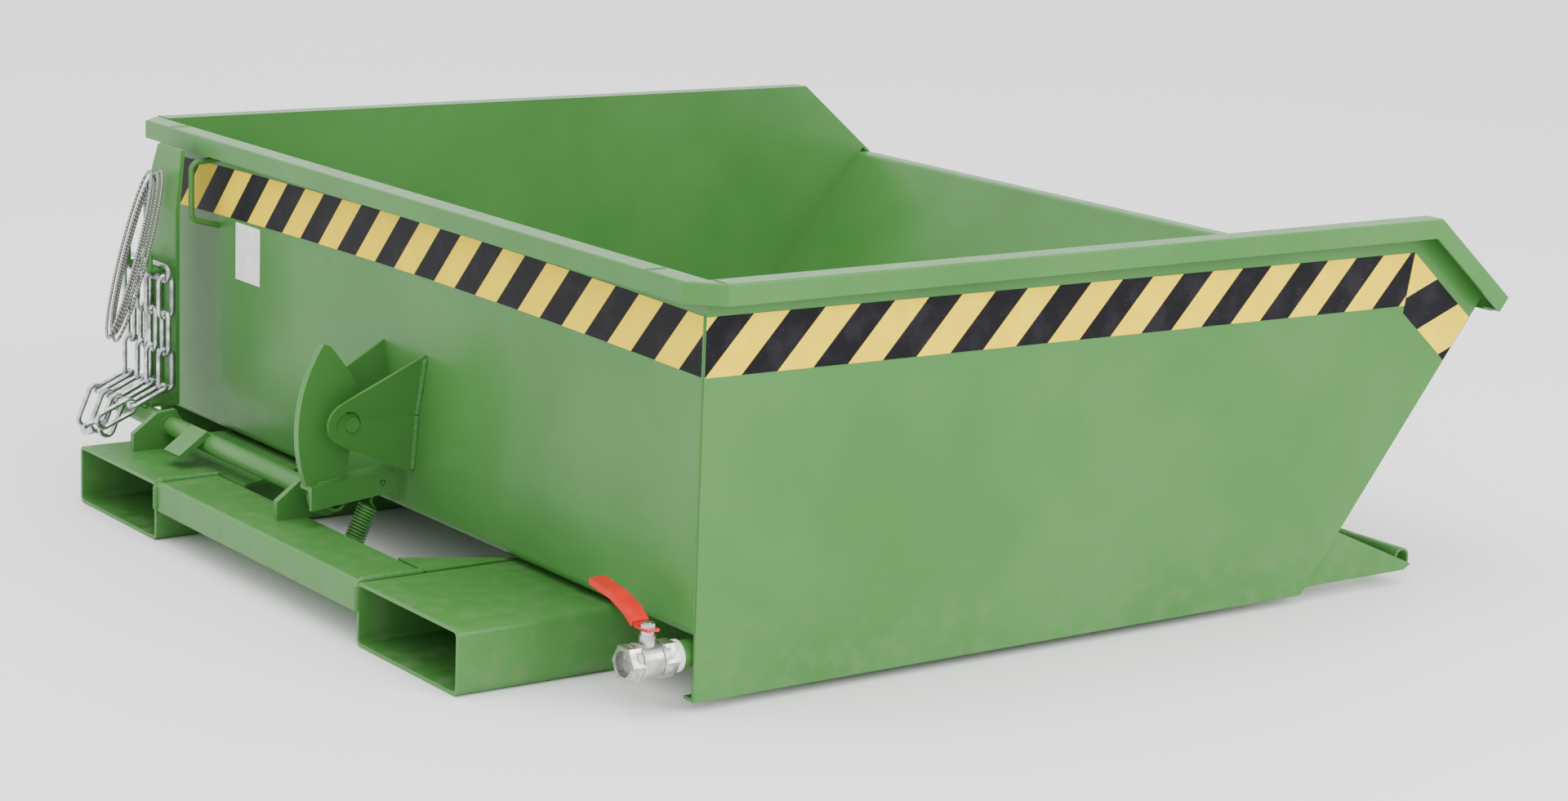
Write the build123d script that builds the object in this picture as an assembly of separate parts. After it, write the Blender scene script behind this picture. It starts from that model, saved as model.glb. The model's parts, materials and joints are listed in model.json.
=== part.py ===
"""Low tipping skip for fork-lift trucks.

A folded steel skip is hinged at its front foot to a base of two fork pockets and a rear cross
beam. A sprung hook on the base holds a pin on the skip's rear wall, and a lever at the far end of
the hook's shaft releases it. A ball valve drains the floor. Chain and rope hang on the lever.

Pieces are drawn in the shop frame: X from the outside of the rear wall towards the discharge lip,
Y from the outside of the right side plate, Z from the floor that the pockets stand on. The export
moves them so that the origin lies on the floor under the middle of the box.
"""
from build123d import *
import os
from math import atan2, cos, degrees, pi, radians, sin, sqrt, tan

# ---- skip ----
width = 1370.0              # over the side plates
height = 498.0              # floor to the top of the rim
floor_line = 86.0           # underside of the skip's floor
skirt_bottom = 12.0         # lower edge of the side plates
skirt_length = 954.0        # side plate, along its lower edge
slope_angle = 51.3          # front slope above the horizontal
lip_height = 385.5          # top of the front lip
sheet = 4.0                 # all skip sheet
bend = 8.0                  # inside radius of the folds
rim_reach = 27.0            # rim beyond the wall
rim_depth = 25.0            # turned-down edge of the rim
rim_bend = 3.0              # outside radius of the rim's folded edge
corner_cut = 36.0           # 45 degree corner of the rim, along each side
corner_arm = 86.0           # corner piece, from the rim's corner along the rear
rim_drop_angle = 39.6       # fall of the side rim towards the lip
rim_end = 1274.0            # where the falling side rim ends
lip_end = 1281.0            # outside of the front lip
skirt_flange = 20.0         # inward fold at the lower edge of the side plates

# ---- front foot and hinge ----
hinge_x = 1148.0
hinge_z = 36.0
rod_radius = 7.0
hinge_clearance = 0.05
nose_radius = 13.0
nose_sheet = 3.0
nose_foot = 24.0            # lower edges of the nose
cheek = 5.0
lug = 12.0                  # thickness of a hinge lug
lug_inset = 13.0            # lug centre from the pocket's side
lug_radius = 9.5
notch_clearance = 3.0
sleeve_length = 40.0

# ---- base ----
pocket_reach = 204.0        # pocket mouths behind the rear wall
pocket_width = 236.0
pocket_height = 80.0
pocket_wall = 5.0
pocket_corner = 10.0
pocket_inset = 177.0        # side plate to pocket
pocket_front = 1100.0
beam_depth = 94.0           # cross beam along X
beam_height = 42.0
beam_wall = 4.0
gusset_x = 136.0            # corner gusset along the pocket
gusset_y = 69.0             # corner gusset along the beam
gusset = 6.0

# ---- latch ----
shaft_x = -100.0
shaft_z = 110.0
shaft_radius = 13.5
shaft_bore = 9.5
shaft_end = 1296.0
catch_x = -93.0
catch_z = 214.0
catch_radius = 10.0
catch_gap = 63.0            # between the bracket plates at the pin
catch_middle = 665.5        # middle of the catch bracket
bracket_sheet = 5.0
recess_depth = 2.5          # round recess about the catch pin's end
hook_sheet = 12.0
hook_middle = 665.5
hook_clearance = 2.0
jaw_relief = 3.5            # fall of the lower jaw, so that it swings clear of the pin
bar_sheet = 6.0             # lever bar, an angle profile
bar_flange = 30.0
bar_height = 30.5
bar_rear = -138.5
bar_front = -20.0
bar_rise = 6.0              # degrees
bar_top = 133.0             # top of the bar at its rear end
bearing_plate = 10.0
bearing_places = (712.0, 1130.0)
bush_wall = 4.0
spring_radius = 14.5
spring_wire = 4.0
lever_x = -61.0             # middle of the release lever's plate
lever_sheet = 6.0
lever_start = 1188.0
lever_width = 102.0
lever_top = 480.0
lever_bend = 395.0
lever_lean = 8.0

# ---- drain ----
valve_y = 25.0
valve_z = 63.0
ball_x = -48.5
valve_length = 64.0
pipe_radius = 16.85
pipe_bore = 13.6
ball_radius = 17.0
ball_bore = 12.0
ball_clearance = 0.05
stem_radius = 5.0
stem_clearance = 0.05

# ---- chain and rope ----
wire = 3.5                  # chain wire radius
link_pitch = 52.0           # inside length of a link
link_gap = 0.4              # slack from link to link
link_inner = 13.0           # inside width
peg_radius = 4.0
peg_z = 312.0
rope_hank = 12.0            # thickness of the hanging rope loops

# ---- films ----
film = 0.6
tape_width = 69.0
tape_top = 457.0
label_size = (71.0, 79.0)

shift = Location((-(lip_end - pocket_reach) / 2, -width / 2, 0))
nodes = {}


def keep(name, *solids):
    """Store the closed solids of one node."""
    found = []
    for item in solids:
        found += item.solids() if hasattr(item, "solids") else [s for i in item for s in i.solids()]
    nodes[name] = found


def box(x0, x1, y0, y1, z0, z1):
    return Solid.make_box(x1 - x0, y1 - y0, z1 - z0).moved(Location((x0, y0, z0)))


def rod(start, end, radius):
    start, end = Vector(start), Vector(end)
    return Solid.make_cylinder(radius, (end - start).length, Plane(start, z_dir=end - start))


def tube(start, end, radius, bore):
    return rod(start, end, radius) - rod(start, end, bore)


def prism(points, step):
    """A flat outline of 3D points, pushed along step."""
    face = Face(Wire.make_polygon([Vector(*p) for p in points], close=True))
    return Solid.extrude(face, Vector(*step))


def plate_xz(points, y0, y1):
    return prism([(x, y0, z) for x, z in points], (0, y1 - y0, 0))


def plate_yz(points, x0, x1):
    return prism([(x0, y, z) for y, z in points], (x1 - x0, 0, 0))


def plate_xy(points, z0, z1):
    return prism([(x, y, z0) for x, y in points], (0, 0, z1 - z0))


def mirrored(solid):
    """The same piece on the left side."""
    return solid.mirror(Plane((0, width / 2, 0), z_dir=(0, 1, 0)))


def meet(p, d, q, e):
    """Point where the line p + s d meets the line q + t e in XZ."""
    s = ((q[0] - p[0]) * e[1] - (q[1] - p[1]) * e[0]) / (d[0] * e[1] - d[1] * e[0])
    return (p[0] + s * d[0], p[1] + s * d[1])


def folded(points, thickness, radius, y0, y1):
    """Sheet folded along a path in XZ; its thickness lies to the left of the path."""
    steps = [(b[0] - a[0], b[1] - a[1]) for a, b in zip(points, points[1:])]
    lengths = [sqrt(dx * dx + dz * dz) for dx, dz in steps]
    units = [(dx / n, dz / n) for (dx, dz), n in zip(steps, lengths)]
    left = [(-uz * thickness, ux * thickness) for ux, uz in units]
    other = [(points[0][0] + left[0][0], points[0][1] + left[0][1])]
    near_radii, far_radii = [], []
    for i in range(1, len(points) - 1):
        a = (points[i][0] + left[i - 1][0], points[i][1] + left[i - 1][1])
        b = (points[i][0] + left[i][0], points[i][1] + left[i][1])
        other.append(meet(a, units[i - 1], b, units[i]))
        turns_left = units[i - 1][0] * units[i][1] - units[i - 1][1] * units[i][0] > 0
        near_radii.append(radius + thickness if turns_left else radius)
        far_radii.append(radius if turns_left else radius + thickness)
    other.append((points[-1][0] + left[-1][0], points[-1][1] + left[-1][1]))
    near = FilletPolyline(*[(x, y0, z) for x, z in points], radius=near_radii)
    far = FilletPolyline(*[(x, y0, z) for x, z in other], radius=far_radii)
    ends = [Line(near @ 0, far @ 0), Line(near @ 1, far @ 1)]
    face = make_face(near.edges() + far.edges() + ends)
    return Solid.extrude(face.face(), Vector(0, y1 - y0, 0))


def hexagon(across, x0, x1, y, z):
    corners = [(across / sqrt(3) * cos(radians(60 * k)), across / sqrt(3) * sin(radians(60 * k)))
               for k in range(6)]
    return plate_yz([(y + a, z + b) for a, b in corners], x0, x1)


# ======================= skip =======================
slope = (cos(radians(slope_angle)), sin(radians(slope_angle)))
fall = (cos(radians(rim_drop_angle)), -sin(radians(rim_drop_angle)))
skirt_corner = (skirt_length, skirt_bottom)
floor_front = meet(skirt_corner, slope, (0, floor_line), (1, 0))
lip_fold = meet(skirt_corner, slope, (0, lip_height - sheet), (1, 0))
rim_turn = meet((rim_end, lip_height), fall, (0, height), (1, 0))


def side_plate():
    under_turn = meet((rim_end - sheet * sin(radians(rim_drop_angle)),
                       lip_height - sheet * cos(radians(rim_drop_angle))), fall,
                      (0, height - sheet), (1, 0))
    front_top = meet(skirt_corner, slope, under_turn, fall)
    outline = [(0, skirt_bottom), skirt_corner, front_top, under_turn, (0, height - sheet)]
    flange = box(0, skirt_length, 0, skirt_flange, skirt_bottom, skirt_bottom + sheet)
    return plate_xz(outline, 0, sheet) + flange


def body_sheet():
    path = [(0, height - sheet), (0, floor_line), floor_front, lip_fold,
            (lip_end - sheet, lip_height - sheet), (lip_end - sheet, lip_height - rim_depth)]
    hole = rod((drain_x, valve_y, 0), (drain_x, valve_y, floor_line + 2 * sheet), pipe_bore)
    return folded(path, sheet, bend, sheet, width - sheet) - hole


def softened(solid, on_edge):
    """Round the folded outer edges of a rim piece."""
    return solid.fillet(rim_bend, [edge for edge in solid.edges() if on_edge(edge.center())])


def rim_profile(start, finish, y0, y1):
    """Rear rim: top flange and turned-down edge along Y."""
    top = box(start, finish, y0, y1, height - sheet, height)
    profile = top + box(start, start + sheet, y0, y1, height - rim_depth, height)
    return softened(profile, lambda c: c.X < start + 0.1 and c.Z > height - 0.1)


def rim_side():
    """Side rim: level along the side plate, then down to the lip."""
    x0 = corner_cut - rim_reach
    end = (rim_end, lip_height)

    def strip(depth):
        normal = (-sin(radians(rim_drop_angle)) * depth, -cos(radians(rim_drop_angle)) * depth)
        low_end = (end[0] + normal[0], end[1] + normal[1])
        low_turn = meet(low_end, fall, (0, height - depth), (1, 0))
        return [(x0, height), rim_turn, end, low_end, low_turn, (x0, height - depth)]

    def on_top(c):
        along_fall = (c.X - end[0]) * fall[1] - (c.Z - end[1]) * fall[0]
        return abs(c.Z - height) < 0.1 or abs(along_fall) < 0.1

    profile = plate_xz(strip(sheet), -rim_reach, sheet)
    profile += plate_xz(strip(rim_depth), -rim_reach, sheet - rim_reach)
    return softened(profile, lambda c: c.Y < 0.1 - rim_reach and on_top(c) and x0 < c.X - 0.1 < end[0] - 0.2)


def rim_corner():
    out, cut = -rim_reach, corner_cut - rim_reach
    inner = sheet * tan(radians(22.5))
    top = [(out, corner_arm), (out, cut), (cut, out), (cut, sheet), (sheet, sheet),
           (sheet, corner_arm)]
    edge = [(out, corner_arm), (out, cut), (cut, out), (cut, out + sheet * sqrt(2)),
            (out + sheet, cut + inner), (out + sheet, corner_arm)]
    corner = plate_xy(top, height - sheet, height) + plate_xy(edge, height - rim_depth, height)
    half = (out + cut) / 2
    return softened(corner, lambda c: c.Z > height - 0.1 and
                    (c.X < out + 0.1 or (abs(c.X - half) < 0.1 and abs(c.Y - half) < 0.1)))


def closing_plate():
    """Plate that closes the lower end of the side rim."""
    normal = (-sin(radians(rim_drop_angle)), -cos(radians(rim_drop_angle)))
    at = [(rim_end + normal[0] * d - fall[0] * s, lip_height + normal[1] * d - fall[1] * s)
          for d, s in ((sheet, 0), (rim_depth, 0), (rim_depth, sheet), (sheet, sheet))]
    return plate_xz(at, sheet - rim_reach, 0)


drain_x = 40.0
keep("side_plate_right", side_plate())
keep("side_plate_left", mirrored(side_plate()))
keep("body_sheet", body_sheet())
keep("rim_rear", rim_profile(-rim_reach, sheet, corner_arm, width - corner_arm))
keep("rim_corner_right", rim_corner())
keep("rim_corner_left", mirrored(rim_corner()))
keep("rim_side_right", rim_side())
keep("rim_side_left", mirrored(rim_side()))
keep("rim_closing_plates", closing_plate(), mirrored(closing_plate()))


# ---- front foot ----
def cheek_plate():
    rise = 3.0
    joint = meet(skirt_corner, slope, (0, floor_line + rise), (1, 0))
    outline = [(floor_front[0] - 40, floor_line), (skirt_length + 12, nose_foot - 4),
               (hinge_x, nose_foot - 4), (hinge_x + nose_radius, nose_foot + 3),
               (hinge_x - nose_radius, hinge_z + 2), joint, floor_front]
    return plate_xz(outline, sheet, sheet + cheek)


lug_centres = [pocket_inset + lug_inset, pocket_inset + pocket_width - lug_inset]
lug_centres += [width - y for y in reversed(lug_centres)]


def nose():
    """Folded cross member, round over the hinge, open below and notched for the lugs."""
    y0, y1 = sheet + cheek, width - sheet - cheek
    outer = rod((hinge_x, y0, hinge_z), (hinge_x, y1, hinge_z), nose_radius)
    outer += box(hinge_x - nose_radius, hinge_x + nose_radius, y0, y1, nose_foot, hinge_z)
    inner_radius = nose_radius - nose_sheet
    inner = rod((hinge_x, y0, hinge_z), (hinge_x, y1, hinge_z), inner_radius)
    inner += box(hinge_x - inner_radius, hinge_x + inner_radius, y0, y1, 0, hinge_z)
    below = box(hinge_x - 2 * nose_radius, hinge_x + 2 * nose_radius, y0, y1, 0, nose_foot)
    profile = outer - inner - below
    half = lug / 2 + notch_clearance
    for y in lug_centres:
        profile -= box(hinge_x - 30, hinge_x + 0.5, y - half, y + half, 0, pocket_height)
    return profile


def sleeves():
    """Hinge sleeves, welded inside the nose beside each lug."""
    found = []
    for y, side in zip(lug_centres, (1, -1, 1, -1)):
        start = y + side * (lug / 2 + notch_clearance)
        found.append(tube((hinge_x, start, hinge_z), (hinge_x, start + side * sleeve_length, hinge_z),
                          nose_radius - nose_sheet, rod_radius + hinge_clearance))
    return found


keep("cheek_right", cheek_plate())
keep("cheek_left", mirrored(cheek_plate()))
keep("nose", nose())
keep("hinge_sleeves", sleeves())


def runner(y):
    half = 20.0
    return box(30, floor_front[0] - 40, y - half, y + half, pocket_height, floor_line)


pocket_middles = (pocket_inset + pocket_width / 2, width - pocket_inset - pocket_width / 2)
keep("floor_runners", *[runner(y) for y in pocket_middles])


# ---- catch bracket ----
def bracket_plate(side):
    """One folded plate: side -1 is the right one, +1 the left one."""
    fold_z = catch_z + 4
    face = catch_middle + side * catch_gap / 2
    lean_top, lean_low = tan(radians(14)), tan(radians(7))
    top_z, low_z = height, floor_line
    line = [(face + side * (top_z - fold_z) * lean_top, top_z), (face, fold_z),
            (face - side * (fold_z - low_z) * lean_low, low_z)]
    other = [(y + side * bracket_sheet, z) for y, z in line]
    bent = plate_yz(line + other[::-1], -140, 0)
    nose_r = 30.0
    outline = plate_xz([(0, 299), (catch_x - 14, catch_z + 31), (catch_x - 26, catch_z - 14),
                        (catch_x - 10, catch_z - 29), (0, 140)], face - 120, face + 120)
    outline += rod((catch_x - 4, face - 120, catch_z + 2), (catch_x - 4, face + 120, catch_z + 2), nose_r)
    plate = bent & outline
    outer = face + side * bracket_sheet
    hole = rod((catch_x, face - 60, catch_z), (catch_x, face + 60, catch_z), catch_radius)
    middle = (catch_x - 6, catch_z + 1)
    recess = rod((middle[0], outer - side * recess_depth, middle[1]), (middle[0], outer + side * 40, middle[1]), 17)
    return plate - hole - recess


catch_half = catch_gap / 2 + bracket_sheet
keep("catch_bracket_right", bracket_plate(-1))
keep("catch_bracket_left", bracket_plate(1))
keep("catch_pin", rod((catch_x, catch_middle - catch_half, catch_z),
                      (catch_x, catch_middle + catch_half, catch_z), catch_radius))


# ---- rope eye: a bent rod on the rear wall ----
def bent_rod(points, radius, bend_radius):
    path = FilletPolyline(*points, radius=bend_radius)
    start = Plane(path @ 0, z_dir=path % 0)
    return Solid.sweep(start * Circle(radius).face(), path.wire())


eye_y = 1187.0
eye = bent_rod([(4, eye_y, 466), (-41, eye_y, 462), (-41, eye_y, 383), (4, eye_y, 372)], 4, 12)
keep("rope_eye", eye - box(0, 20, eye_y - 20, eye_y + 20, 340, height))


# ---- drain ----
valve_front = ball_x + valve_length / 2
valve_back = ball_x - valve_length / 2
ring_length = 8.0


def drain_pipe():
    """Nipple along X with an elbow up to the floor hole."""
    level = tube((valve_front - 12, valve_y, valve_z), (drain_x, valve_y, valve_z), pipe_radius, pipe_bore)
    up = rod((drain_x, valve_y, valve_z), (drain_x, valve_y, floor_line), pipe_radius)
    ball = Solid.make_sphere(pipe_radius).moved(Location((drain_x, valve_y, valve_z)))
    hollow = Solid.make_sphere(pipe_bore).moved(Location((drain_x, valve_y, valve_z)))
    hollow += rod((drain_x, valve_y, valve_z), (drain_x, valve_y, floor_line), pipe_bore)
    hollow += rod((valve_front - 12, valve_y, valve_z), (drain_x, valve_y, valve_z), pipe_bore)
    return level + up + ball - hollow


seat_length = 4.0
chamber = ball_radius + seat_length - 2


def valve_body():
    hex_length = 18.0
    body = hexagon(39, valve_back, valve_back + hex_length, valve_y, valve_z)
    body += hexagon(39, valve_front - hex_length, valve_front, valve_y, valve_z)
    body += rod((valve_back + 9, valve_y, valve_z), (valve_front - 9, valve_y, valve_z), 20.6)
    for x in (valve_back + hex_length, valve_front - hex_length):
        body += rod((x - 2, valve_y, valve_z), (x + 2, valve_y, valve_z), 22.2)
    body += rod((ball_x, valve_y, valve_z), (ball_x, valve_y, bonnet_top), 10)
    body -= rod((ball_x - chamber, valve_y, valve_z), (ball_x + chamber, valve_y, valve_z), 18)
    body -= rod((valve_back - 1, valve_y, valve_z), (valve_front + 1, valve_y, valve_z), ball_bore)
    body -= rod((valve_back - 1, valve_y, valve_z), (valve_back + 12, valve_y, valve_z), 15.1)
    body -= rod((valve_front - 12, valve_y, valve_z), (valve_front + 1, valve_y, valve_z), pipe_radius)
    body -= rod((ball_x, valve_y, valve_z), (ball_x, valve_y, bonnet_top + 1), stem_radius + stem_clearance)
    return body


def valve_seats():
    found = []
    for side in (-1, 1):
        far = ball_x + side * chamber
        ring = tube((far, valve_y, valve_z), (far - side * seat_length * 1.6, valve_y, valve_z), 18, ball_bore)
        ring -= Solid.make_sphere(ball_radius + ball_clearance).moved(Location((ball_x, valve_y, valve_z)))
        found.append(ring)
    return found


bonnet_top = 93.0
handle_z = 99.0
keep("drain_pipe", drain_pipe())
keep("seal_ring", tube((valve_front, valve_y, valve_z), (valve_front + ring_length, valve_y, valve_z),
                       pipe_radius + 2.2, pipe_radius))
keep("valve_body", valve_body())
keep("valve_seats", valve_seats())


def ball():
    slot = 3.0
    solid = Solid.make_sphere(ball_radius).moved(Location((ball_x, valve_y, valve_z)))
    solid -= rod((ball_x, valve_y - 30, valve_z), (ball_x, valve_y + 30, valve_z), ball_bore)
    return solid - box(ball_x - 20, ball_x + 20, valve_y - 20, valve_y + 20,
                       valve_z + ball_radius - slot, valve_z + 30)


def stem():
    foot = valve_z + ball_radius - 3.0
    return rod((ball_x, valve_y, foot), (ball_x, valve_y, handle_z + 9), stem_radius)


def handle_path(z0, width_half, thickness):
    """Handle in YZ: flat at the hub, then a cranked rise, then nearly level to the tip."""
    line = [(valve_y - 12, z0), (valve_y + 14, z0), (valve_y + 32, z0 + 13), (valve_y + 62, z0 + 24),
            (valve_y + 102, z0 + 30)]
    other = [(y - 0.35 * thickness, z + thickness) if 0 < i < 4 else (y, z + thickness)
             for i, (y, z) in enumerate(line)]
    return plate_yz(line + other[::-1], ball_x - width_half, ball_x + width_half)


def grip():
    """Dipped plastic sleeve over the handle's outer stretch."""
    line = [(valve_y + 18, 1), (valve_y + 33, 11), (valve_y + 62, 21.5), (valve_y + 106, 28)]
    top = [(valve_y + 106, 36), (valve_y + 60, 29.5), (valve_y + 30, 19), (valve_y + 14, 7.5)]
    sleeve = plate_yz([(y, handle_z + z) for y, z in line + top], ball_x - 11, ball_x + 11)
    return sleeve - handle_path(handle_z, 8, 3)


keep("valve_ball", ball())
keep("valve_stem", stem())
keep("valve_nut", plate_xy([(ball_x + 9 * cos(radians(60 * k)), valve_y + 9 * sin(radians(60 * k)))
                            for k in range(6)], handle_z + 3, handle_z + 8)
     - rod((ball_x, valve_y, handle_z), (ball_x, valve_y, handle_z + 20), stem_radius))
keep("valve_handle", handle_path(handle_z, 8, 3)
     - rod((ball_x, valve_y, handle_z - 5), (ball_x, valve_y, handle_z + 20), stem_radius))
keep("handle_sleeve", grip())
keep("gland_nut", tube((ball_x, valve_y, bonnet_top), (ball_x, valve_y, handle_z - 0.5), 8.5,
                       stem_radius + stem_clearance))


# ---- films ----
def tape_rear():
    arch = 8.0
    y0, y1 = sheet, width - sheet
    low = tape_top - tape_width
    bottom = ThreePointArc((0, y0, low), (0, width / 2, low + arch), (0, y1, low - 5))
    top = ThreePointArc((0, y1, tape_top - 6), (0, width / 2, tape_top + arch - 1), (0, y0, tape_top))
    sides = [Line(bottom @ 1, top @ 0), Line(top @ 1, bottom @ 0)]
    face = make_face(bottom.edges() + top.edges() + sides)
    return Solid.extrude(face.face(), Vector(-film, 0, 0))


def tape_side():
    drop = 6.0
    end = rim_turn[0] - 34
    low = tape_top - tape_width
    outline = [(0, low), (end, low - drop), (end + 12, tape_top - drop), (0, tape_top)]
    return plate_xz(outline, -film, 0)


def tape_front():
    """Short piece along the falling rim."""
    gap = 1.0
    start = (rim_turn[0] - 34 + 12 + gap, tape_top - 6)
    upper = meet(start, fall, skirt_corner, slope)
    normal = (-sin(radians(rim_drop_angle)), -cos(radians(rim_drop_angle)))
    low_line = (start[0] + normal[0] * tape_width, start[1] + normal[1] * tape_width)
    lower = meet(low_line, fall, skirt_corner, slope)
    inset = 2.0
    lower_start = (rim_turn[0] - 34 + gap, tape_top - tape_width - 6)
    low_start = meet(low_line, fall, start, (start[0] - lower_start[0], start[1] - lower_start[1]))
    return plate_xz([start, (upper[0] - inset, upper[1]), (lower[0] - inset, lower[1]), low_start],
                    -film, 0)


label_y, label_z = 1062.0, 307.0
keep("hazard_tape_rear", tape_rear())
keep("hazard_tape_right", tape_side())
keep("hazard_tape_left", mirrored(tape_side()))
keep("hazard_tape_front_right", tape_front())
keep("hazard_tape_front_left", mirrored(tape_front()))
keep("label", box(-film, 0, label_y, label_y + label_size[0], label_z, label_z + label_size[1]))


# ======================= base =======================
def box_section(plane, wide, high, wall, corner, length):
    outer = plane * RectangleRounded(wide, high, corner)
    inner = plane * RectangleRounded(wide - 2 * wall, high - 2 * wall, corner - wall + 0.5)
    return extrude(outer - inner, amount=length)


def pocket(y):
    plane = Plane((-pocket_reach, y, pocket_height / 2), x_dir=(0, 1, 0), z_dir=(1, 0, 0))
    return box_section(plane, pocket_width, pocket_height, pocket_wall, pocket_corner,
                       pocket_front + pocket_reach)


def cross_beam():
    y0 = pocket_inset + pocket_width
    plane = Plane((-pocket_reach + beam_depth / 2, y0, pocket_height - beam_height / 2),
                  x_dir=(1, 0, 0), z_dir=(0, 1, 0))
    return box_section(plane, beam_depth, beam_height, beam_wall, 7.0, width - 2 * y0)


def corner_gusset():
    y0 = pocket_inset + pocket_width
    x0 = -pocket_reach + beam_depth
    return plate_xy([(x0, y0), (x0 + gusset_x, y0), (x0, y0 + gusset_y)],
                    pocket_height - gusset, pocket_height)


def hinge_lug(y):
    arm = plate_xz([(pocket_front, 10), (pocket_front, 58), (hinge_x, hinge_z + lug_radius),
                    (hinge_x, hinge_z - lug_radius)], y - lug / 2, y + lug / 2)
    eye = rod((hinge_x, y - lug / 2, hinge_z), (hinge_x, y + lug / 2, hinge_z), lug_radius)
    hole = rod((hinge_x, y - lug, hinge_z), (hinge_x, y + lug, hinge_z), rod_radius)
    return arm + eye - hole


keep("fork_pocket_right", pocket(pocket_middles[0]))
keep("fork_pocket_left", pocket(pocket_middles[1]))
keep("rear_cross_beam", cross_beam())
keep("corner_gussets", corner_gusset(), mirrored(corner_gusset()))
keep("hinge_lugs", [hinge_lug(y) for y in lug_centres])
keep("hinge_rods", [rod((hinge_x, a - lug, hinge_z), (hinge_x, b + lug, hinge_z), rod_radius)
                    for a, b in (lug_centres[:2], lug_centres[2:])])


def bearing(y):
    half = bearing_plate / 2
    ring = shaft_radius + bush_wall
    foot_x = shaft_x - 57
    outline = [(foot_x, pocket_height), (-pocket_reach + beam_depth, pocket_height),
               (shaft_x + 12, shaft_z - 18), (shaft_x + 19, shaft_z), (shaft_x + 6, shaft_z + 23),
               (shaft_x - 22, shaft_z + 20), (foot_x, pocket_height + 24)]
    plate = plate_xz(outline, y - half, y + half)
    return plate - rod((shaft_x, y - half, shaft_z), (shaft_x, y + half, shaft_z), ring)


def bush(y):
    half = bearing_plate / 2 + 2
    return tube((shaft_x, y - half, shaft_z), (shaft_x, y + half, shaft_z),
                shaft_radius + bush_wall, shaft_radius + hinge_clearance)


web_y0 = hook_middle - bar_flange / 2
web_y1 = web_y0 + bar_sheet
spring_play = 0.4
spring_y = web_y1 + spring_wire / 2 + spring_play
anchor_x = -79.0
anchor_z = 40.0
anchor_y0 = web_y0


def spring_anchor():
    """Lug on the front face of the cross beam, with a hole for the spring's lower hook."""
    x0 = -pocket_reach + beam_depth
    outline = [(x0, 42), (x0, 62), (anchor_x - 4, anchor_z + 10), (anchor_x + 6, anchor_z + 7),
               (anchor_x + 9, anchor_z), (anchor_x + 5, anchor_z - 7), (anchor_x - 5, anchor_z - 8)]
    lug_plate = plate_xz(outline, anchor_y0, anchor_y0 + bar_sheet)
    return lug_plate - rod((anchor_x, anchor_y0 - 1, anchor_z), (anchor_x, anchor_y0 + 9, anchor_z), 4)


keep("bearing_plates", [bearing(y) for y in bearing_places])
keep("bearing_bushes", [bush(y) for y in bearing_places])
keep("spring_anchor", spring_anchor())

# ======================= latch =======================
shaft_start = web_y1


def bar_line(x):
    """Height of the bar's top face."""
    return bar_top + (x - bar_rear) * tan(radians(bar_rise))


hook_y0 = hook_middle - hook_sheet / 2
hook_y1 = hook_middle + hook_sheet / 2


def hook():
    """Hook plate: a curved back, a beak over the catch pin and a mouth open to the front."""
    y0 = hook_y0
    back = ThreePointArc((-141, y0, bar_line(-141)), (-153, y0, 205), (-118, y0, 313))
    beak = ThreePointArc((-109, y0, 310), (-84, y0, 278), (-66, y0, 250))
    mouth_r = catch_radius + hook_clearance
    points = [(-66, y0, 250), (-66, y0, catch_z + mouth_r - 3), (-72, y0, catch_z + mouth_r),
              (catch_x, y0, catch_z + mouth_r)]
    upper = Polyline(*points)
    throat = ThreePointArc((catch_x, y0, catch_z + mouth_r), (catch_x - mouth_r, y0, catch_z),
                           (catch_x, y0, catch_z - mouth_r))
    lower = Polyline((catch_x, y0, catch_z - mouth_r), (-78, y0, catch_z - mouth_r - jaw_relief),
                     (-84, y0, bar_line(-84)), (-141, y0, bar_line(-141)))
    tip = Line((-118, y0, 313), (-109, y0, 310))
    edges = back.edges() + tip.edges() + beak.edges() + upper.edges() + throat.edges() + lower.edges()
    return Solid.extrude(make_face(edges).face(), Vector(0, hook_sheet, 0))


def bar():
    """Angle profile welded to the shaft's end; it carries the hook and the spring."""
    def band(depth):
        return [(bar_rear, bar_line(bar_rear) - depth), (bar_front, bar_line(bar_front) - depth),
                (bar_front, bar_line(bar_front)), (bar_rear, bar_line(bar_rear))]
    profile = plate_xz(band(bar_height), web_y0, web_y1)
    profile += plate_xz(band(bar_sheet), web_y0, web_y0 + bar_flange)
    return profile - rod((spring_hole[0], web_y0 - 1, spring_hole[1]),
                         (spring_hole[0], web_y1 + 1, spring_hole[1]), 4.5)


spring_hole = (-37.0, 128.5)    # in the bar's web


def spring():
    """Closed coil in the solid's plain form: a tube with the coil's outside, and two hook stubs."""
    top = Vector(spring_hole[0], spring_y, spring_hole[1])
    foot = Vector(anchor_x, spring_y, anchor_z)
    run = foot - top
    unit = run.normalized()
    a, b = top + unit * 34, foot - unit * 18
    coil = rod(a, b, spring_radius) - rod(a, b,
                                                              spring_radius - spring_wire)
    caps = rod(a, (a + unit * spring_wire), spring_radius - spring_wire / 2)
    caps += rod((b - unit * spring_wire), b, spring_radius - spring_wire / 2)
    hooks = rod(top, (a + unit), spring_wire / 2)
    hooks += rod((b - unit), foot, spring_wire / 2)
    pin = rod((top.X, web_y0 - 4, top.Z), (top.X, spring_y, top.Z), spring_wire / 2)
    pin += rod((foot.X, anchor_y0 - 4, foot.Z), (foot.X, spring_y, foot.Z), spring_wire / 2)
    return coil + caps + hooks + pin


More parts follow.
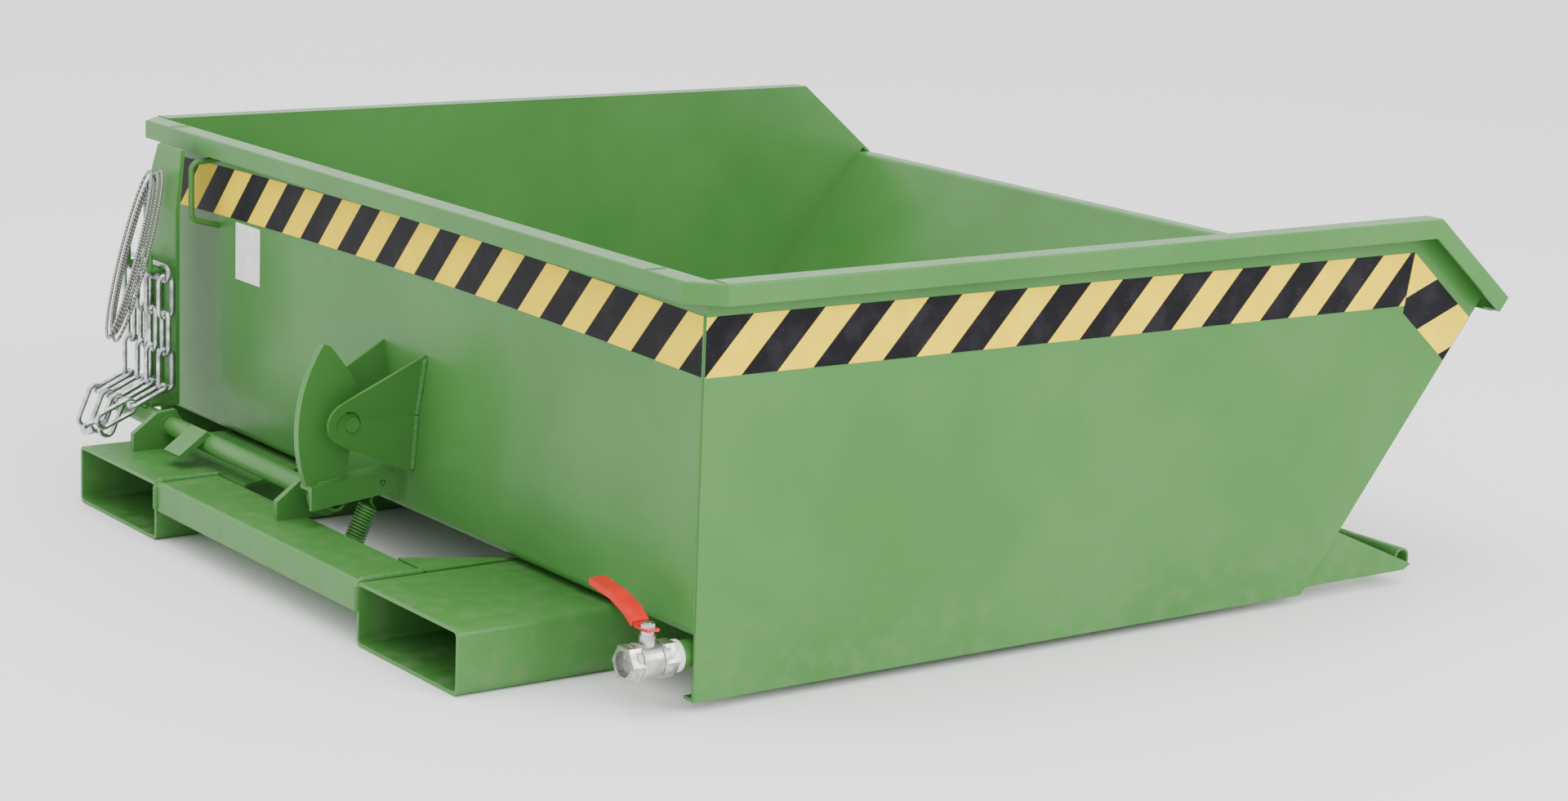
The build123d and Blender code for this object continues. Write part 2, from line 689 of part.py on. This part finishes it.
def stop_tab():
    """Flat bar on the shaft that meets the cross beam when the latch is fully open."""
    y0, y1 = 1000.0, 1046.0
    return plate_xz([(shaft_x - 3, shaft_z + shaft_radius), (shaft_x - 9, shaft_z + shaft_radius + 6),
                     (shaft_x - 50, shaft_z - 10), (shaft_x - 46, shaft_z - 16),
                     (shaft_x - shaft_radius + 1, shaft_z + 6)], y0, y1) \
        - rod((shaft_x, y0 - 1, shaft_z), (shaft_x, y1 + 1, shaft_z), shaft_radius)


def release_lever():
    """Tall plate with a foot on the shaft; its top leans towards the skip."""
    x0, x1 = lever_x - lever_sheet / 2, lever_x + lever_sheet / 2
    y0, y1 = lever_start, lever_start + lever_width
    foot_z = shaft_z + shaft_radius
    profile = [(shaft_x, foot_z), (x1, foot_z), (x1, lever_bend), (x1 + lever_lean, lever_top),
               (x0 + lever_lean, lever_top), (x0, lever_bend), (x0, foot_z + lever_sheet),
               (shaft_x, foot_z + lever_sheet)]
    plate = plate_xz(profile, y0, y1)
    corner = 30.0
    plate -= plate_yz([(y1 - corner, lever_top + 1), (y1 + 1, lever_top + 1), (y1 + 1, lever_bend)],
                      x0 - 5, x1 + 20)
    for y in peg_places:
        plate -= rod((x0 - 1, y, peg_z), (x1 + 1, y, peg_z), peg_radius)
    return plate


peg_places = (lever_start + 22, lever_start + 92)


def pegs():
    x0, x1 = lever_x - lever_sheet / 2, lever_x + lever_sheet / 2
    found = []
    for y in peg_places:
        found.append(rod((x1, y, peg_z), (x0 - 32, y, peg_z), peg_radius)
                     + rod((x0 - 28, y, peg_z), (x0 - 28, y, peg_z + 22), peg_radius))
    return found


keep("latch_shaft", tube((shaft_x, shaft_start, shaft_z), (shaft_x, shaft_end, shaft_z),
                         shaft_radius, shaft_bore))
keep("latch_hook", hook())
keep("latch_bar", bar())
keep("shaft_collar", tube((shaft_x, hook_y1 + 10, shaft_z), (shaft_x, hook_y1 + 19, shaft_z), 24, shaft_radius))
keep("stop_tab", stop_tab())
keep("release_lever", release_lever())
keep("chain_pegs", pegs())
keep("latch_spring", spring())


# ---- chain ----
def link(centre, along, across):
    """Oval link: along is its long axis, across its short axis."""
    c, a, b = Vector(centre), Vector(along).normalized(), Vector(across).normalized()
    half = link_pitch / 2 - link_inner / 2
    r = link_inner / 2 + wire
    p = [c + a * half + b * r, c + a * (half + r), c + a * half - b * r,
         c - a * half - b * r, c - a * (half + r), c - a * half + b * r]
    path = Wire([Line(p[5], p[0]).edge(), ThreePointArc(p[0], p[1], p[2]).edge(),
                 Line(p[2], p[3]).edge(), ThreePointArc(p[3], p[4], p[5]).edge()])
    start = Plane(p[5], z_dir=a)
    return Solid.sweep(start * Circle(wire).face(), path)


reach = link_pitch / 2 + wire          # link centre to the middle of its end wire
chain_x = lever_x - lever_sheet / 2 - link_inner / 2 - 2 * wire - 0.6


def chain():
    links = []
    top_z = peg_z + peg_radius + 0.2 - link_inner / 2
    first_wire = top_z - link_inner / 2 - wire + 2 * wire + 0.2
    down, side, front = (0, 0, -1), (0, 1, 0), (1, 0, 0)
    for y in peg_places:
        links.append(link((chain_x, y, top_z), side, (0, 0, 1)))
        for strand in (-1, 1):
            sy = y + strand * 20
            z = first_wire - reach
            for k in range(3):
                links.append(link((chain_x, sy, z), down, front if k % 2 == 0 else side))
                z -= link_pitch - link_gap
            end_wire = z + link_pitch - link_gap - reach
            start = Vector(chain_x, sy, end_wire + 2 * wire + 0.2)
            tilt = radians(24)
            lay = Vector(-cos(tilt), 0, -sin(tilt))
            fourth = start + lay * reach
            links.append(link(fourth, lay, side))
            end = fourth + lay * reach
            drop = Vector(-0.42, 0, -1).normalized() if sy > width - pocket_inset else \
                Vector(-1, 0, -0.42).normalized()
            up = Vector(0, 1, 0).cross(drop)
            fifth = end + drop * (reach - 2 * wire - 0.2)
            links.append(link(fifth, drop, up))
            chain_ends.append((fifth + drop * reach, drop))
    return links


chain_ends = []
keep("chain_links", chain())


def open_hook(end, drop):
    """Open ring hook on the chain's free end."""
    r, w = 15.0, 4.0
    c = end + drop * (r - w - wire - 0.3)
    ring = [c + Vector(0, cos(t), 0) * r + drop * (sin(t) * r) for t in
            (radians(-120), radians(10), radians(150))]
    arc = ThreePointArc(*ring)
    start = Plane(arc @ 0, z_dir=arc % 0)
    return Solid.sweep(start * Circle(w).face(), Wire([arc.edge()]))


keep("chain_hook", open_hook(*chain_ends[0]))


# ---- wire rope, hung on the lever in loops ----
def rope_loops():
    """Outer shape of the loops, between the lever's top edge and the chain."""
    start_x = lever_x - lever_sheet / 2 - 6.6
    lean = 0.22
    outline = [(lever_start - 6, 452), (lever_start + 12, 458), (lever_start + 86, 345),
               (lever_start + 90, 215), (lever_start + 58, 196), (lever_start - 8, 262)]
    points = [(start_x - (452 - z) * lean, y, z) for y, z in outline]
    return prism(points, (-rope_hank, 0, 0))


keep("wire_rope", rope_loops())

if __name__ == "__main__":
    os.makedirs("parts", exist_ok=True)
    for name, solids in nodes.items():
        moved = [s.moved(shift) for s in solids]
        export_step(Compound(moved) if len(moved) > 1 else moved[0], f"parts/{name}.step")
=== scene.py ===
"""Low tipping skip for fork-lift trucks: finishes, spring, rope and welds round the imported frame."""

import bpy
import bmesh
import json
from math import cos, pi, radians, sin
from mathutils import Matrix, Vector


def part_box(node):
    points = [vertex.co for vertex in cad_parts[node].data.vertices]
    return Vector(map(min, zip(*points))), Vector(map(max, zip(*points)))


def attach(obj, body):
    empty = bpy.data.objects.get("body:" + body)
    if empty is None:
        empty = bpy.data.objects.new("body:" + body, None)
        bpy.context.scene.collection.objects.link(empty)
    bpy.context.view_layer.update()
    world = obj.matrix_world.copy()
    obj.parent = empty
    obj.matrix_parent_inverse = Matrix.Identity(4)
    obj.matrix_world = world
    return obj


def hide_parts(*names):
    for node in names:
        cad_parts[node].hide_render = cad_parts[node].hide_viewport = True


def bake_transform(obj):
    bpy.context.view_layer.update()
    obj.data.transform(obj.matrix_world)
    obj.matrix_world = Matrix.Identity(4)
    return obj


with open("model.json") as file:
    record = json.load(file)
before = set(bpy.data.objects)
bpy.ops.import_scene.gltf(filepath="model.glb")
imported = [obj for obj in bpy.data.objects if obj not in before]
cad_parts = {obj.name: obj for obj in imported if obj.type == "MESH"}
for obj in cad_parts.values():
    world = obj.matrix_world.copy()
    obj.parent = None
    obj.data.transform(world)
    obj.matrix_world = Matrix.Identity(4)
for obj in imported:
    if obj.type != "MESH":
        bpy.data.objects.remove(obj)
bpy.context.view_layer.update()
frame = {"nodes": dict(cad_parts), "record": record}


# ---------------------------------------------------------------- camera
# A long lens from behind the right rear corner, a little above the rim,
# with the slight roll of a hand-held camera.
azimuth, elevation, roll = radians(53.5657), radians(12.4107), radians(2.33)
forward = Vector((cos(elevation) * cos(azimuth), cos(elevation) * sin(azimuth), -sin(elevation)))
level = forward.cross(Vector((0, 0, 1))).normalized()
upright = level.cross(forward)
right = level * cos(roll) + upright * sin(roll)
upward = upright * cos(roll) - level * sin(roll)
camera_data = bpy.data.cameras.new("camera")
camera_data.sensor_width = 36
camera_data.lens = 76.954
camera = bpy.data.objects.new("camera", camera_data)
camera.matrix_world = Matrix((right, upward, -forward)).transposed().to_4x4()
camera.matrix_world.translation = (-2.62259, -3.65771, 1.16557)
bpy.context.scene.collection.objects.link(camera)
bpy.context.scene.camera = camera


# ---------------------------------------------------------------- wire rope
# Galvanised wire rope in flat oval turns, hung loose on the release lever's pegs.
rear_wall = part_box("body_sheet")[0].x
right_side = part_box("side_plate_right")[0].y


def at(x, y, z):
    """A point in millimetres ahead of the rear wall, left of the right side and off the floor."""
    return Vector((rear_wall + x / 1000, right_side + y / 1000, z / 1000))


class Shade:
    """A socket in a material, with arithmetic that adds Math nodes."""

    def __init__(self, tree, socket=None):
        self.tree = tree
        self.socket = socket

    def node(self, kind, settings=(), inputs=(), output=0):
        made = self.tree.nodes.new("ShaderNode" + kind)
        for name, value in dict(settings).items():
            setattr(made, name, value)
        for name, value in dict(inputs).items():
            if isinstance(value, Shade):
                self.tree.links.new(value.socket, made.inputs[name])
            else:
                made.inputs[name].default_value = value
        return Shade(self.tree, made.outputs[output])

    def math(self, operation, first, second=0.0):
        return self.node("Math", {"operation": operation}, {0: first, 1: second})

    def __add__(self, other):
        return self.math("ADD", self, other)

    def __mul__(self, other):
        return self.math("MULTIPLY", self, other)

    def __rsub__(self, other):
        return self.math("SUBTRACT", other, self)

    def __gt__(self, other):
        return self.math("GREATER_THAN", self, other)

    __radd__ = __add__
    __rmul__ = __mul__

    def fraction(self):
        return self.math("FRACT", self)

    def noise(self, scale, detail=3.0):
        return self.node("TexNoise", inputs={"Vector": self, "Scale": scale, "Detail": detail})

    def stretched(self, x, y, z):
        return self.node("VectorMath", {"operation": "MULTIPLY"}, {0: self, 1: (x, y, z)})

    def between(self, low, high):
        """0 below low, 1 above high, smooth between."""
        return self.node("MapRange", {"interpolation_type": "SMOOTHSTEP"},
                         {"Value": self, "From Min": low, "From Max": high})

    def blend(self, dark, light):
        return self.node("Mix", {"data_type": "RGBA"}, {0: self, 6: dark, 7: light}, 2)

    def bump(self, strength, distance):
        relief = {"Height": self, "Strength": strength, "Distance": distance}
        return self.node("Bump", inputs=relief)

    def to(self, shader, name):
        self.tree.links.new(self.socket, shader.inputs[name])


def finish_of(name, metallic=0.0, roughness=0.5):
    """A new material, its shader and its row-frame position."""
    material = bpy.data.materials.new(name)
    material.use_nodes = True
    shader = material.node_tree.nodes["Principled BSDF"]
    shader.inputs["Metallic"].default_value = metallic
    shader.inputs["Roughness"].default_value = roughness
    return material, shader, Shade(material.node_tree).node("TexCoord", output="Object")


def coat(material, *names):
    """Gives CAD nodes a finish."""
    for name in names:
        slots = frame["nodes"][name].data.materials
        slots.clear()
        slots.append(material)


def strung(name, points, thickness):
    """A round wire along a smooth line of chosen points."""
    curve = bpy.data.curves.new(name, "CURVE")
    curve.dimensions = "3D"
    curve.bevel_depth = thickness / 2
    curve.bevel_resolution = 3
    curve.use_fill_caps = True
    spline = curve.splines.new("NURBS")
    spline.points.add(len(points) - 1)
    for point, place in zip(spline.points, points):
        point.co = (*place, 1)
    spline.order_u = 3
    spline.use_endpoint_u = True
    spline.resolution_u = 6
    wire = bpy.data.objects.new(name, curve)
    bpy.context.scene.collection.objects.link(wire)
    return wire


def as_mesh(wire):
    """The shown mesh of a wire."""
    bpy.context.view_layer.update()
    shown = wire.evaluated_get(bpy.context.evaluated_depsgraph_get())
    return bpy.data.meshes.new_from_object(shown)


rope_thickness = 0.0045
rope_turns = 3.6
turn_points = 24
hank_middle = (1237.0, 328.0)
hank_reach = (27.0, 116.0)
hank_rear = -68.0
hank_top = 452.0
hank_lean = 0.22
side_lean = 0.12
turn_step = 5.6
first_angle = 0.6
unevenness, swell_pace, swell_start = 0.05, 2.2, 0.4
rope_route = []
for i in range(int(rope_turns * turn_points) + 1):
    turn = i / turn_points
    round_angle = 2 * pi * turn + first_angle
    swell = 1 + unevenness * sin(swell_pace * turn + swell_start)
    z = hank_middle[1] + hank_reach[1] * sin(round_angle) * swell
    y = hank_middle[0] + hank_reach[0] * cos(round_angle) * swell - side_lean * (z - hank_middle[1])
    x = hank_rear - (hank_top - z) * hank_lean - turn * turn_step
    rope_route.append(at(x, y, z))
rope_line = strung("rope_line", rope_route, rope_thickness)
rope_mesh = as_mesh(rope_line)
rope_line.data.bevel_depth = 0
rope_path = [tuple(vertex.co) for vertex in as_mesh(rope_line).vertices]
bpy.data.objects.remove(rope_line)
rope_mesh.shade_smooth()
wire_rope = bpy.data.objects.new("rope_hank", rope_mesh)
bpy.context.scene.collection.objects.link(wire_rope)
rope_steel, shader, where = finish_of("galvanised rope", 0.75, 0.42)
strands = where.node("TexWave", {"bands_direction": "DIAGONAL"},
                     {"Vector": where, "Scale": 130.0, "Distortion": 1.5})
strands.blend((0.12, 0.12, 0.115, 1), (0.50, 0.50, 0.48, 1)).to(shader, "Base Color")
(0.32 + where.noise(90) * 0.25).to(shader, "Roughness")
strands.bump(0.7, 0.0006).to(shader, "Normal")
rope_mesh.materials.clear()
rope_mesh.materials.append(rope_steel)
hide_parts("wire_rope")
tuple(at(-80, 1237, 400))
tuple(at(-105, 1237, 290))
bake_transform(wire_rope)


# ---------------------------------------------------------------- painted steel
# Folded and welded sheet, pockets, brackets, shaft and lever under one coat of
# green gloss paint, with orange peel, faint cloudiness, dust low down and fine rubs.
paint, shader, where = finish_of("green gloss paint")
clouds = where.noise(5, 4)
patches = where.noise(38, 6)
fine = where.noise(420, 2)
height = where.node("SeparateXYZ", inputs={0: where}, output=2)
dust = (1 - height.between(0.0, 0.16)) * patches.between(0.42, 0.7)
streaks = where.stretched(2.5, 2.5, 30).noise(26, 5)
rubs = streaks.between(0.69, 0.74) * patches.between(0.5, 0.62)
body_green = clouds.between(0.3, 0.7).blend((0.047, 0.172, 0.034, 1), (0.062, 0.200, 0.047, 1))
dusty = (dust * 0.4).blend(body_green, (0.13, 0.20, 0.09, 1))
worn = (rubs * 0.35).blend(dusty, (0.15, 0.32, 0.12, 1))
worn.to(shader, "Base Color")
(0.27 + patches * 0.16 + dust * 0.25 + rubs * 0.1).to(shader, "Roughness")
(clouds * 2.4 + fine * 0.05).bump(0.35, 0.0012).to(shader, "Normal")
shader.inputs["Specular IOR Level"].default_value = 0.2
shader.inputs["Coat Weight"].default_value = 0.04
shader.inputs["Coat Roughness"].default_value = 0.1
painted = [part["node"] for part in frame["record"]["subparts"]
           if part["material_slot"] == "green_paint"]
coat(paint, *painted)


# ---------------------------------------------------------------- weld beads
# Fillet welds laid by hand where plates meet, painted over with the rest. Each is
# a string of overlapping ripples on the body that carries the joint.
def bead(name, body, start, end, thickness=9.0):
    """A rippled weld bead between two points, its thickness in millimetres."""
    run = end - start
    ripple, rings_per_ripple, fewest_rings = 0.0028, 3, 4
    ripple_depth, drift_depth = 0.13, 0.06
    end_share, end_length = 0.35, 0.004
    around = 8
    count = max(fewest_rings, int(run.length / (ripple / rings_per_ripple)))
    along = run.normalized()
    across = along.orthogonal().normalized()
    other = along.cross(across)
    mesh = bmesh.new()
    rings = []
    for i in range(count + 1):
        share = i / count
        ripples = ripple_depth * sin(2 * pi * share * run.length / ripple)
        drift = drift_depth * sin(41 * share + start.y * 90)
        from_end = min(share, 1 - share) * run.length
        taper = min(1.0, end_share + from_end / end_length)
        radius = thickness / 2000 * (1 + ripples + drift) * taper
        ring = []
        for k in range(around):
            turn = 2 * pi * k / around
            spoke = across * cos(turn) + other * sin(turn)
            ring.append(mesh.verts.new(start + run * share + spoke * radius))
        rings.append(ring)
    for one, two in zip(rings, rings[1:]):
        for k in range(around):
            mesh.faces.new((one[k], one[(k + 1) % around], two[(k + 1) % around], two[k]))
    mesh.faces.new(rings[0][::-1])
    mesh.faces.new(rings[-1])
    for face in mesh.faces:
        face.smooth = True
    data = bpy.data.meshes.new(name)
    mesh.to_mesh(data)
    mesh.free()
    data.materials.append(paint)
    weld = bpy.data.objects.new(name, data)
    bpy.context.scene.collection.objects.link(weld)
    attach(weld, body)


catch_middle, fold_offset = 665.5, 36.5
low_inset, high_outset = 9.0, 19.0
bracket_low, bracket_fold, bracket_high = 144, 218, 295
wall_skin = -1
for side, label in ((-1, "right"), (1, "left")):
    fold_y = catch_middle + side * fold_offset
    bead(f"bracket_weld_low_{label}", "container",
         at(wall_skin, fold_y - side * low_inset, bracket_low), at(wall_skin, fold_y, bracket_fold))
    bead(f"bracket_weld_high_{label}", "container",
         at(wall_skin, fold_y, bracket_fold), at(wall_skin, fold_y + side * high_outset, bracket_high))
wall_bottom, wall_top = 92, 460
for y, label in ((4, "right"), (1366, "left")):
    bead(f"corner_seam_{label}", "container", at(0, y, wall_bottom), at(0, y, wall_top), 3.0)
pocket_top = 80
beam_top_rear, beam_top_front = -201, -113
beam_rear, beam_low, beam_high = -204, 42, 76
for y, label in ((413, "right"), (957, "left")):
    bead(f"beam_weld_top_{label}", "base",
         at(beam_top_rear, y, pocket_top), at(beam_top_front, y, pocket_top))
    bead(f"beam_weld_rear_{label}", "base", at(beam_rear, y, beam_low), at(beam_rear, y, beam_high))
rim_top = 498
rim_bead = 2.4
corner_x, corner_half = 9, 14
for y, label in ((86, "right"), (1284, "left")):
    bead(f"rim_weld_{label}", "container", at(-26, y, rim_top), at(3, y, rim_top), rim_bead)
for y, label in ((-11, "right"), (1381, "left")):
    bead(f"rim_corner_weld_{label}", "container",
         at(corner_x, y - corner_half, rim_top), at(corner_x, y + corner_half, rim_top), rim_bead)
bead("lever_foot_weld", "latch", at(-106, 1192, 124), at(-106, 1286, 124), 5.0)
bead("lever_bar_weld", "latch", at(-126, 659, 134.6), at(-92, 659, 138.2), 4.0)


# ---------------------------------------------------------------- latch spring
# Close-wound extension spring of round wire, painted green, hooked through the
# lever bar at the top and into the beam's lug at the bottom.
spring_top = at(-37, 660.5, 128.5)
spring_foot = at(-79, 660.5, 40)
spring_run = spring_foot - spring_top
spring_line = spring_run.normalized()
coil_start = spring_top + spring_line * 0.034
coil_end = spring_foot - spring_line * 0.018
coil_radius = 0.0123
wire_thickness = 0.0036
coil_turns = 11
points_per_turn = 12
across = Vector((0, 1, 0))
outward = spring_line.cross(across).normalized()
spring_route = [at(-37, 648, 128.5), at(-37, 655, 129.5), spring_top + Vector((0, 0.001, 0)),
                spring_top + spring_line * 0.02, coil_start - spring_line * 0.004]
for i in range(coil_turns * points_per_turn + 1):
    turn = 2 * pi * i / points_per_turn
    centre = coil_start.lerp(coil_end, i / (coil_turns * points_per_turn))
    spring_route.append(centre + (across * sin(turn) + outward * cos(turn)) * coil_radius)
spring_route += [coil_end + spring_line * 0.004, coil_end + spring_line * 0.010,
                 spring_foot + Vector((0, 0.001, 0)), at(-79, 655, 39), at(-79, 648, 40)]
coil_curve = strung("spring_wire", spring_route, wire_thickness)
coil_curve.data.splines[0].resolution_u = 3
coil_mesh = as_mesh(coil_curve)
bpy.data.objects.remove(coil_curve)
latch_spring = bpy.data.objects.new("latch_coil", coil_mesh)
bpy.context.scene.collection.objects.link(latch_spring)
coil_mesh.shade_smooth()
coil_mesh.materials.clear()
coil_mesh.materials.append(paint)
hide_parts("latch_spring")
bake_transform(latch_spring)


# ---------------------------------------------------------------- hazard tape
# Printed self-adhesive film, yellow with slanted black bars, stuck round the skip
# below the rim. The print is a little uneven and the film has fine scuffs.
bar_pitch = 0.100


def hazard_film(name, along_x, along_y, slant, first_bar):
    """Yellow film whose black bars repeat each pitch along a line, starting part way into one."""
    film, shader, where = finish_of(name, roughness=0.4)
    shader.inputs["Specular IOR Level"].default_value = 0.1
    along = where.node("VectorMath", {"operation": "DOT_PRODUCT"},
                       {0: where, 1: (along_x / bar_pitch, along_y / bar_pitch, slant / bar_pitch)},
                       "Value")
    bars = (along + first_bar).fraction() > 0.5
    grime = where.noise(30, 5)
    yellow = grime.between(0.3, 0.75).blend((0.84, 0.58, 0.001, 1), (0.90, 0.66, 0.003, 1))
    black = grime.between(0.4, 0.7).blend((0.005, 0.005, 0.007, 1), (0.014, 0.013, 0.017, 1))
    scuffs = where.stretched(4, 4, 24).noise(40, 5).between(0.68, 0.74)
    print_colour = bars.blend(yellow, black)
    (scuffs * 0.15).blend(print_colour, (0.5, 0.42, 0.2, 1)).to(shader, "Base Color")
    (0.4 + grime * 0.2 + scuffs * 0.2).to(shader, "Roughness")
    (grime + where.noise(300, 2) * 0.3).bump(0.25, 0.0004).to(shader, "Normal")
    return film


bar_slant = 0.93
coat(hazard_film("rear hazard film", 0, 1, bar_slant, 0.73), "hazard_tape_rear")
coat(hazard_film("side hazard film", 1, 0, -bar_slant, 0.995),
     "hazard_tape_right", "hazard_tape_left")
coat(hazard_film("front hazard film", -0.35, 0, 0.94, 0.3),
     "hazard_tape_front_right", "hazard_tape_front_left")


# ---------------------------------------------------------------- blank label
# White paper-faced film on the rear wall, left without print, slightly rippled.
label_film, shader, where = finish_of("label film", roughness=0.5)
paper = where.noise(45, 4).between(0.3, 0.8)
paper.blend((0.70, 0.71, 0.69, 1), (0.86, 0.86, 0.84, 1)).to(shader, "Base Color")
(0.4 + where.noise(60) * 0.2).to(shader, "Roughness")
where.noise(25).bump(0.3, 0.0006).to(shader, "Normal")
coat(label_film, "label")


# ---------------------------------------------------------------- chain
# Bright zinc-plated link chain with an open ring hook, hung in four strands on the
# lever's pegs. The plating is dulled in patches and polished where links rub.
zinc, shader, where = finish_of("bright zinc", 1.0, 0.3)
dulled = where.noise(70, 5).between(0.35, 0.7)
dulled.blend((0.66, 0.66, 0.68, 1), (0.30, 0.31, 0.33, 1)).to(shader, "Base Color")
(0.2 + dulled * 0.26).to(shader, "Roughness")
where.noise(380).bump(0.25, 0.0004).to(shader, "Normal")
coat(zinc, "chain_links", "chain_hook")


# ---------------------------------------------------------------- drain valve
# Nickel-plated brass ball valve on a steel nipple under the floor, with a white
# seal ring, white seats and a cranked steel handle in a dipped red sleeve.
nickel, shader, where = finish_of("nickel plate", 1.0, 0.3)
tarnish = where.noise(60, 5).between(0.35, 0.75)
tarnish.blend((0.55, 0.56, 0.53, 1), (0.30, 0.30, 0.28, 1)).to(shader, "Base Color")
(0.2 + tarnish * 0.22 + where.noise(500) * 0.08).to(shader, "Roughness")
where.noise(260, 4).bump(0.3, 0.0005).to(shader, "Normal")
coat(nickel, "valve_body", "valve_ball", "valve_stem", "valve_nut", "gland_nut")

white_seal, shader, where = finish_of("white seal", roughness=0.55)
yellowed = where.noise(70, 4).between(0.35, 0.75)
yellowed.blend((0.80, 0.80, 0.77, 1), (0.62, 0.61, 0.56, 1)).to(shader, "Base Color")
(0.45 + where.noise(120) * 0.2).to(shader, "Roughness")
where.stretched(1, 0.1, 0.1).noise(900).bump(0.4, 0.0005).to(shader, "Normal")
coat(white_seal, "seal_ring", "valve_seats")

red_dip, shader, where = finish_of("red dipped sleeve", roughness=0.32)
faded = where.noise(40, 4).between(0.3, 0.7)
faded.blend((0.56, 0.004, 0.006, 1), (0.68, 0.010, 0.010, 1)).to(shader, "Base Color")
(0.24 + where.noise(110) * 0.2).to(shader, "Roughness")
where.noise(150).bump(0.3, 0.0006).to(shader, "Normal")
coat(red_dip, "handle_sleeve", "valve_handle")


# ---------------------------------------------------------------- floor and light
# A pale studio floor and even white surroundings, with the stronger soft light on
# the right side of the skip.
floor_mesh = bpy.data.meshes.new("floor")
half = 30.0
corners = [(-half, -half, 0), (half, -half, 0), (half, half, 0), (-half, half, 0)]
floor_mesh.from_pydata(corners, [], [(0, 1, 2, 3)])
floor = bpy.data.objects.new("floor", floor_mesh)
floor.location.z = -0.0005
bpy.context.scene.collection.objects.link(floor)
pale, shader, where = finish_of("pale floor", roughness=0.7)
where.noise(0.6).blend((0.90, 0.90, 0.90, 1), (0.94, 0.94, 0.94, 1)).to(shader, "Base Color")
floor_mesh.materials.append(pale)

world = bpy.data.worlds.new("studio")
world.use_nodes = True
world.node_tree.nodes["Background"].inputs["Color"].default_value = (1, 1, 1, 1)
world.node_tree.nodes["Background"].inputs["Strength"].default_value = 1.9
bpy.context.scene.world = world


def soft_light(name, place, size, energy):
    """A square soft box aimed at the middle of the skip."""
    data = bpy.data.lights.new(name, "AREA")
    data.size = size
    data.energy = energy
    lamp = bpy.data.objects.new(name, data)
    lamp.location = place
    lamp.rotation_euler = (Vector((0, 0, 0.3)) - Vector(place)).to_track_quat("-Z", "Y").to_euler()
    bpy.context.scene.collection.objects.link(lamp)


soft_light("right_soft_box", (1.4, -4.2, 2.6), 2.6, 130)
soft_light("high_soft_box", (-1.0, -0.5, 4.2), 3.0, 90)
